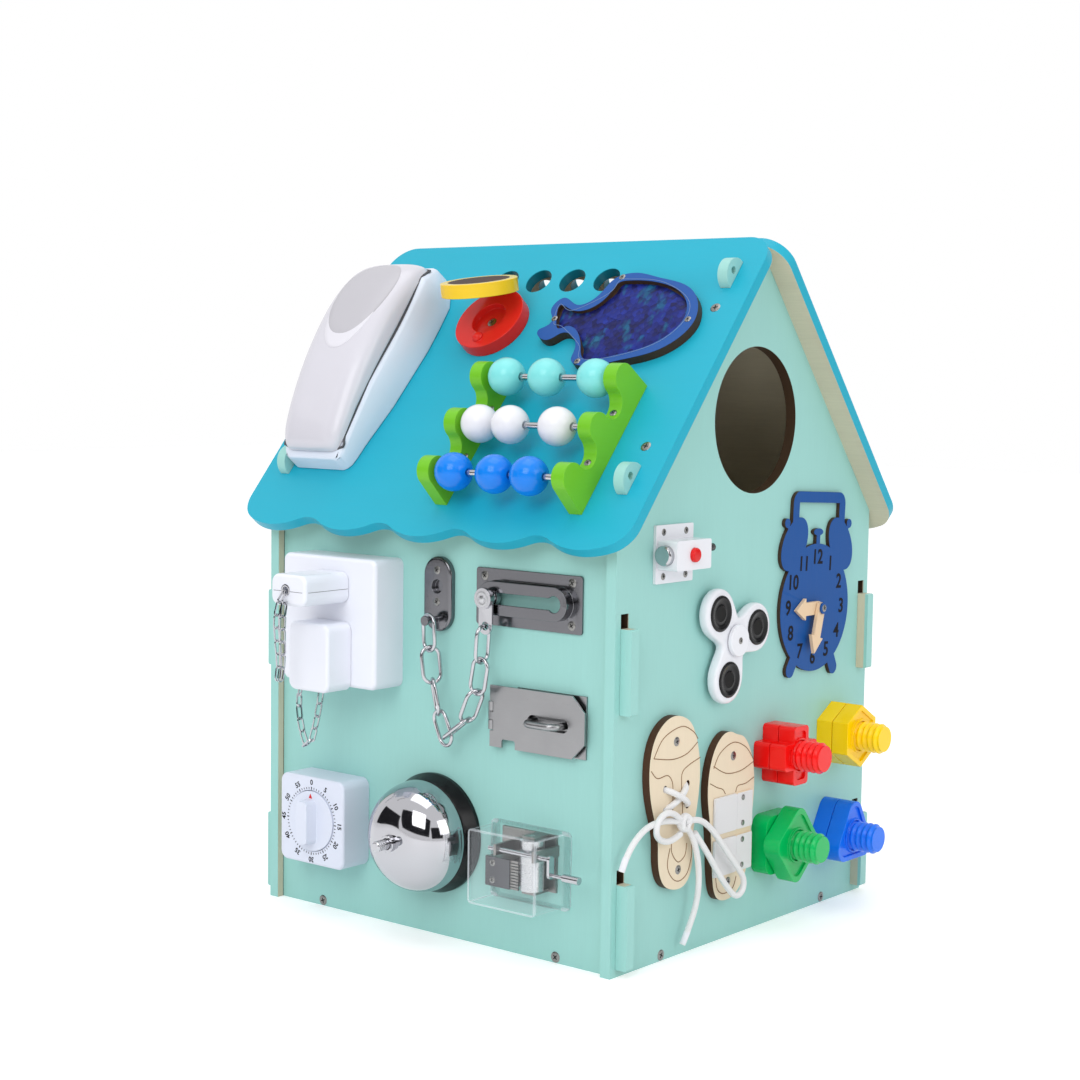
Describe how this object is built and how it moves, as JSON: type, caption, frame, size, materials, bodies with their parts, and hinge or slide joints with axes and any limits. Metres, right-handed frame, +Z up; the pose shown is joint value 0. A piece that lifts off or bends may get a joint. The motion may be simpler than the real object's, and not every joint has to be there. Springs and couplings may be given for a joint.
{
  "type": "busy board house",
  "caption": "House-shaped wooden busy board with a toy phone, abacus, castanet, whale frame, plugs, chains, hasp, timer, bell, music box, clock, shoes to tie and bolts.",
  "frame": {"origin": "middle of the house's footprint on the floor", "axes": "+X to the right along the front wall, -Y out of the front wall, +Z up"},
  "size_m": [0.3595, 0.3861, 0.4598],
  "materials": {
    "aqua_paint": "satin painted plywood",
    "roof_paint": "satin painted plywood",
    "bare_birch": "sanded birch plywood",
    "screw_steel": "bright plated",
    "phone_white": "semi-gloss",
    "phone_pearl": "pearl semi-gloss",
    "castanet_red": "gloss lacquer",
    "castanet_yellow": "gloss lacquer",
    "whale_navy": "satin paint with sequins inside",
    "abacus_green": "satin paint",
    "bead_aqua": "gloss",
    "bead_white": "gloss",
    "bead_blue": "gloss",
    "socket_white": "semi-gloss",
    "plug_white": "semi-gloss",
    "chain_chrome": "bright",
    "plate_steel": "dark nickel",
    "hasp_steel": "brushed zinc",
    "timer_white": "satin",
    "bell_black": "gloss",
    "bell_chrome": "mirror",
    "clear_cover": "clear",
    "movement_steel": "dark",
    "drum_steel": "bright",
    "latch_white": "semi-gloss",
    "button_red": "gloss",
    "spinner_white": "gloss",
    "clock_blue": "satin paint",
    "hand_birch": "bare with burnt edges",
    "shoe_birch": "bare with burnt edges",
    "lace_white": "braided",
    "strap_white": "woven",
    "bolt_mixed": "gloss in four colours",
    "nut_red": "gloss",
    "nut_yellow": "gloss",
    "nut_green": "gloss",
    "nut_blue": "gloss"
  },
  "bodies": {
    "house": {"gable_panel_right": "aqua_paint", "gable_panel_left": "aqua_paint", "front_panel": "aqua_paint", "back_panel": "aqua_paint", "roof_panel_front": "roof_paint", "roof_panel_back": "roof_paint", "base_board": "bare_birch", "screws": "screw_steel", "phone_cradle": "phone_white", "castanet_base": "castanet_red", "whale_frame": "whale_navy", "abacus_frame": "abacus_green", "socket_box": "socket_white", "door_chain_plates": "plate_steel", "hasp_base": "hasp_steel", "timer_case": "timer_white", "bell_base": "bell_black", "bell_dome": "bell_chrome", "music_box_cover": "clear_cover", "music_movement": "movement_steel", "latch_housing": "latch_white", "spinner_cap": "spinner_white", "clock_board": "clock_blue", "shoe_boards": "shoe_birch", "shoelace": "lace_white", "bolt_studs": "bolt_mixed"},
    "handset": {"phone_handset": "phone_pearl"},
    "castanet_lid": {"castanet_lid": "castanet_yellow"},
    "plug_two": {"plug_two_pin": "plug_white", "plug_chain_upper": "chain_chrome"},
    "plug_three": {"plug_three_pin": "plug_white", "plug_chain_lower": "chain_chrome"},
    "slider": {"chain_slider": "chain_chrome"},
    "chain_left": {"door_chain_left": "chain_chrome"},
    "chain_right": {"door_chain_right": "chain_chrome"},
    "leaf": {"hasp_leaf": "hasp_steel"},
    "dial": {"timer_dial": "timer_white"},
    "plunger": {"bell_plunger": "chain_chrome"},
    "crank": {"music_crank": "chain_chrome"},
    "drum": {"music_drum": "drum_steel"},
    "bolt": {"latch_bolt": "chain_chrome"},
    "button": {"latch_button": "button_red"},
    "spinner": {"spinner_body": "spinner_white"},
    "hour": {"hour_hand": "hand_birch"},
    "minute": {"minute_hand": "hand_birch"},
    "flap_upper": {"strap_upper": "strap_white"},
    "flap_lower": {"strap_lower": "strap_white"},
    "bead_aqua_1": {"bead_aqua_1": "bead_aqua"},
    "bead_aqua_2": {"bead_aqua_2": "bead_aqua"},
    "bead_aqua_3": {"bead_aqua_3": "bead_aqua"},
    "bead_white_1": {"bead_white_1": "bead_white"},
    "bead_white_2": {"bead_white_2": "bead_white"},
    "bead_white_3": {"bead_white_3": "bead_white"},
    "bead_blue_1": {"bead_blue_1": "bead_blue"},
    "bead_blue_2": {"bead_blue_2": "bead_blue"},
    "bead_blue_3": {"bead_blue_3": "bead_blue"},
    "nut_red": {"nut_red": "nut_red"},
    "nut_yellow": {"nut_yellow": "nut_yellow"},
    "nut_green": {"nut_green": "nut_green"},
    "nut_blue": {"nut_blue": "nut_blue"}
  },
  "joints": [
    {"name": "handset_lift", "type": "slide", "parent": "house", "child": "handset", "axis": [0, -0.7682, 0.6402], "range_m": [0, 0.1]},
    {"name": "castanet_hinge", "type": "hinge", "parent": "house", "child": "castanet_lid", "pos_m": [-0.0285, -0.04554, 0.42722], "axis": [-1, 0, 0], "range_deg": [-39.5, 50]},
    {"name": "slide_aqua_1", "type": "slide", "parent": "house", "child": "bead_aqua_1", "axis": [1, 0, 0], "range_m": [-0.0012, 0.0039]},
    {"name": "slide_aqua_2", "type": "slide", "parent": "house", "child": "bead_aqua_2", "axis": [1, 0, 0], "range_m": [-0.0039, 0.007]},
    {"name": "slide_aqua_3", "type": "slide", "parent": "house", "child": "bead_aqua_3", "axis": [1, 0, 0], "range_m": [-0.0073, 0]},
    {"name": "slide_white_1", "type": "slide", "parent": "house", "child": "bead_white_1", "axis": [1, 0, 0], "range_m": [0, 0.0128]},
    {"name": "slide_white_2", "type": "slide", "parent": "house", "child": "bead_white_2", "axis": [1, 0, 0], "range_m": [0, 0.0128]},
    {"name": "slide_white_3", "type": "slide", "parent": "house", "child": "bead_white_3", "axis": [1, 0, 0], "range_m": [0, 0.0105]},
    {"name": "slide_blue_1", "type": "slide", "parent": "house", "child": "bead_blue_1", "axis": [1, 0, 0], "range_m": [-0.0004, 0.004]},
    {"name": "slide_blue_2", "type": "slide", "parent": "house", "child": "bead_blue_2", "axis": [1, 0, 0], "range_m": [-0.004, 0.0027]},
    {"name": "slide_blue_3", "type": "slide", "parent": "house", "child": "bead_blue_3", "axis": [1, 0, 0], "range_m": [0, 0.0119]},
    {"name": "plug_two_pull", "type": "slide", "parent": "house", "child": "plug_two", "axis": [0, -1, 0], "range_m": [0, 0.03]},
    {"name": "plug_three_pull", "type": "slide", "parent": "house", "child": "plug_three", "axis": [0, -1, 0], "range_m": [0, 0.016]},
    {"name": "chain_slide", "type": "slide", "parent": "house", "child": "slider", "axis": [1, 0, 0], "range_m": [0, 0.052]},
    {"name": "chain_left_swing", "type": "hinge", "parent": "house", "child": "chain_left", "pos_m": [0.0039, -0.157, 0.2095], "axis": [0, -1, 0], "range_deg": [0, 26]},
    {"name": "chain_right_swing", "type": "hinge", "parent": "slider", "child": "chain_right", "pos_m": [0.052, -0.1581, 0.2102], "axis": [0, 1, 0], "range_deg": [0, 26]},
    {"name": "hasp_hinge", "type": "hinge", "parent": "house", "child": "leaf", "pos_m": [0.051, -0.1475, 0.1522], "axis": [0, 0, -1], "range_deg": [0, 70], "deforming": ["door_chain_right", "door_chain_left"]},
    {"name": "timer_turn", "type": "hinge", "parent": "house", "child": "dial", "pos_m": [-0.0896, -0.1695, 0.0656], "axis": [0, 1, 0], "range_deg": [0, 345]},
    {"name": "bell_press", "type": "slide", "parent": "house", "child": "plunger", "axis": [0, 1, 0], "range_m": [0, 0.004], "stiffness_N_per_m": 400, "springref_m": -0.003},
    {"name": "crank_turn", "type": "hinge", "parent": "house", "child": "crank", "pos_m": [0.112, -0.1665, 0.072], "axis": [1, 0, 0], "continuous": true},
    {"name": "drum_turn", "type": "hinge", "parent": "house", "child": "drum", "pos_m": [0.093, -0.1565, 0.056], "axis": [0, 0, 1], "continuous": true},
    {"name": "button_press", "type": "slide", "parent": "house", "child": "button", "axis": [-1, 0, 0], "range_m": [0, 0.0022], "stiffness_N_per_m": 300, "springref_m": -0.002},
    {"name": "bolt_retract", "type": "slide", "parent": "house", "child": "bolt", "axis": [0, 1, 0], "range_m": [0, 0.0035]},
    {"name": "spinner_turn", "type": "hinge", "parent": "house", "child": "spinner", "pos_m": [0.156, -0.0325, 0.1995], "axis": [1, 0, 0], "continuous": true},
    {"name": "hour_turn", "type": "hinge", "parent": "house", "child": "hour", "pos_m": [0.1546, 0.0743, 0.2115], "axis": [1, 0, 0], "continuous": true},
    {"name": "minute_turn", "type": "hinge", "parent": "house", "child": "minute", "pos_m": [0.1576, 0.0743, 0.2115], "axis": [1, 0, 0], "continuous": true},
    {"name": "flap_upper_open", "type": "hinge", "parent": "house", "child": "flap_upper", "pos_m": [0.1583, -0.0242, 0.0855], "axis": [0, 0, 1], "range_deg": [0, 110]},
    {"name": "flap_lower_open", "type": "hinge", "parent": "house", "child": "flap_lower", "pos_m": [0.1583, -0.0242, 0.0575], "axis": [0, 0, 1], "range_deg": [0, 110], "deforming": ["shoelace"]},
    {"name": "unscrew_red", "type": "slide", "parent": "house", "child": "nut_red", "axis": [1, 0, 0], "range_m": [0, 0.0315]},
    {"name": "unscrew_yellow", "type": "slide", "parent": "house", "child": "nut_yellow", "axis": [1, 0, 0], "range_m": [0, 0.0315]},
    {"name": "unscrew_green", "type": "slide", "parent": "house", "child": "nut_green", "axis": [1, 0, 0], "range_m": [0, 0.0315]},
    {"name": "unscrew_blue", "type": "slide", "parent": "house", "child": "nut_blue", "axis": [1, 0, 0], "range_m": [0, 0.0315]}
  ],
  "couplings": [
    {"joint": "chain_left_swing", "follows": "chain_slide", "rad_per_m": 8.44},
    {"joint": "chain_right_swing", "follows": "chain_slide", "rad_per_m": 8.44},
    {"joint": "slide_white_1", "follows": "slide_white_2", "ratio": 1},
    {"joint": "drum_turn", "follows": "crank_turn", "ratio": 0.041667},
    {"joint": "bolt_retract", "follows": "button_press", "ratio": 1.5909}
  ]
}
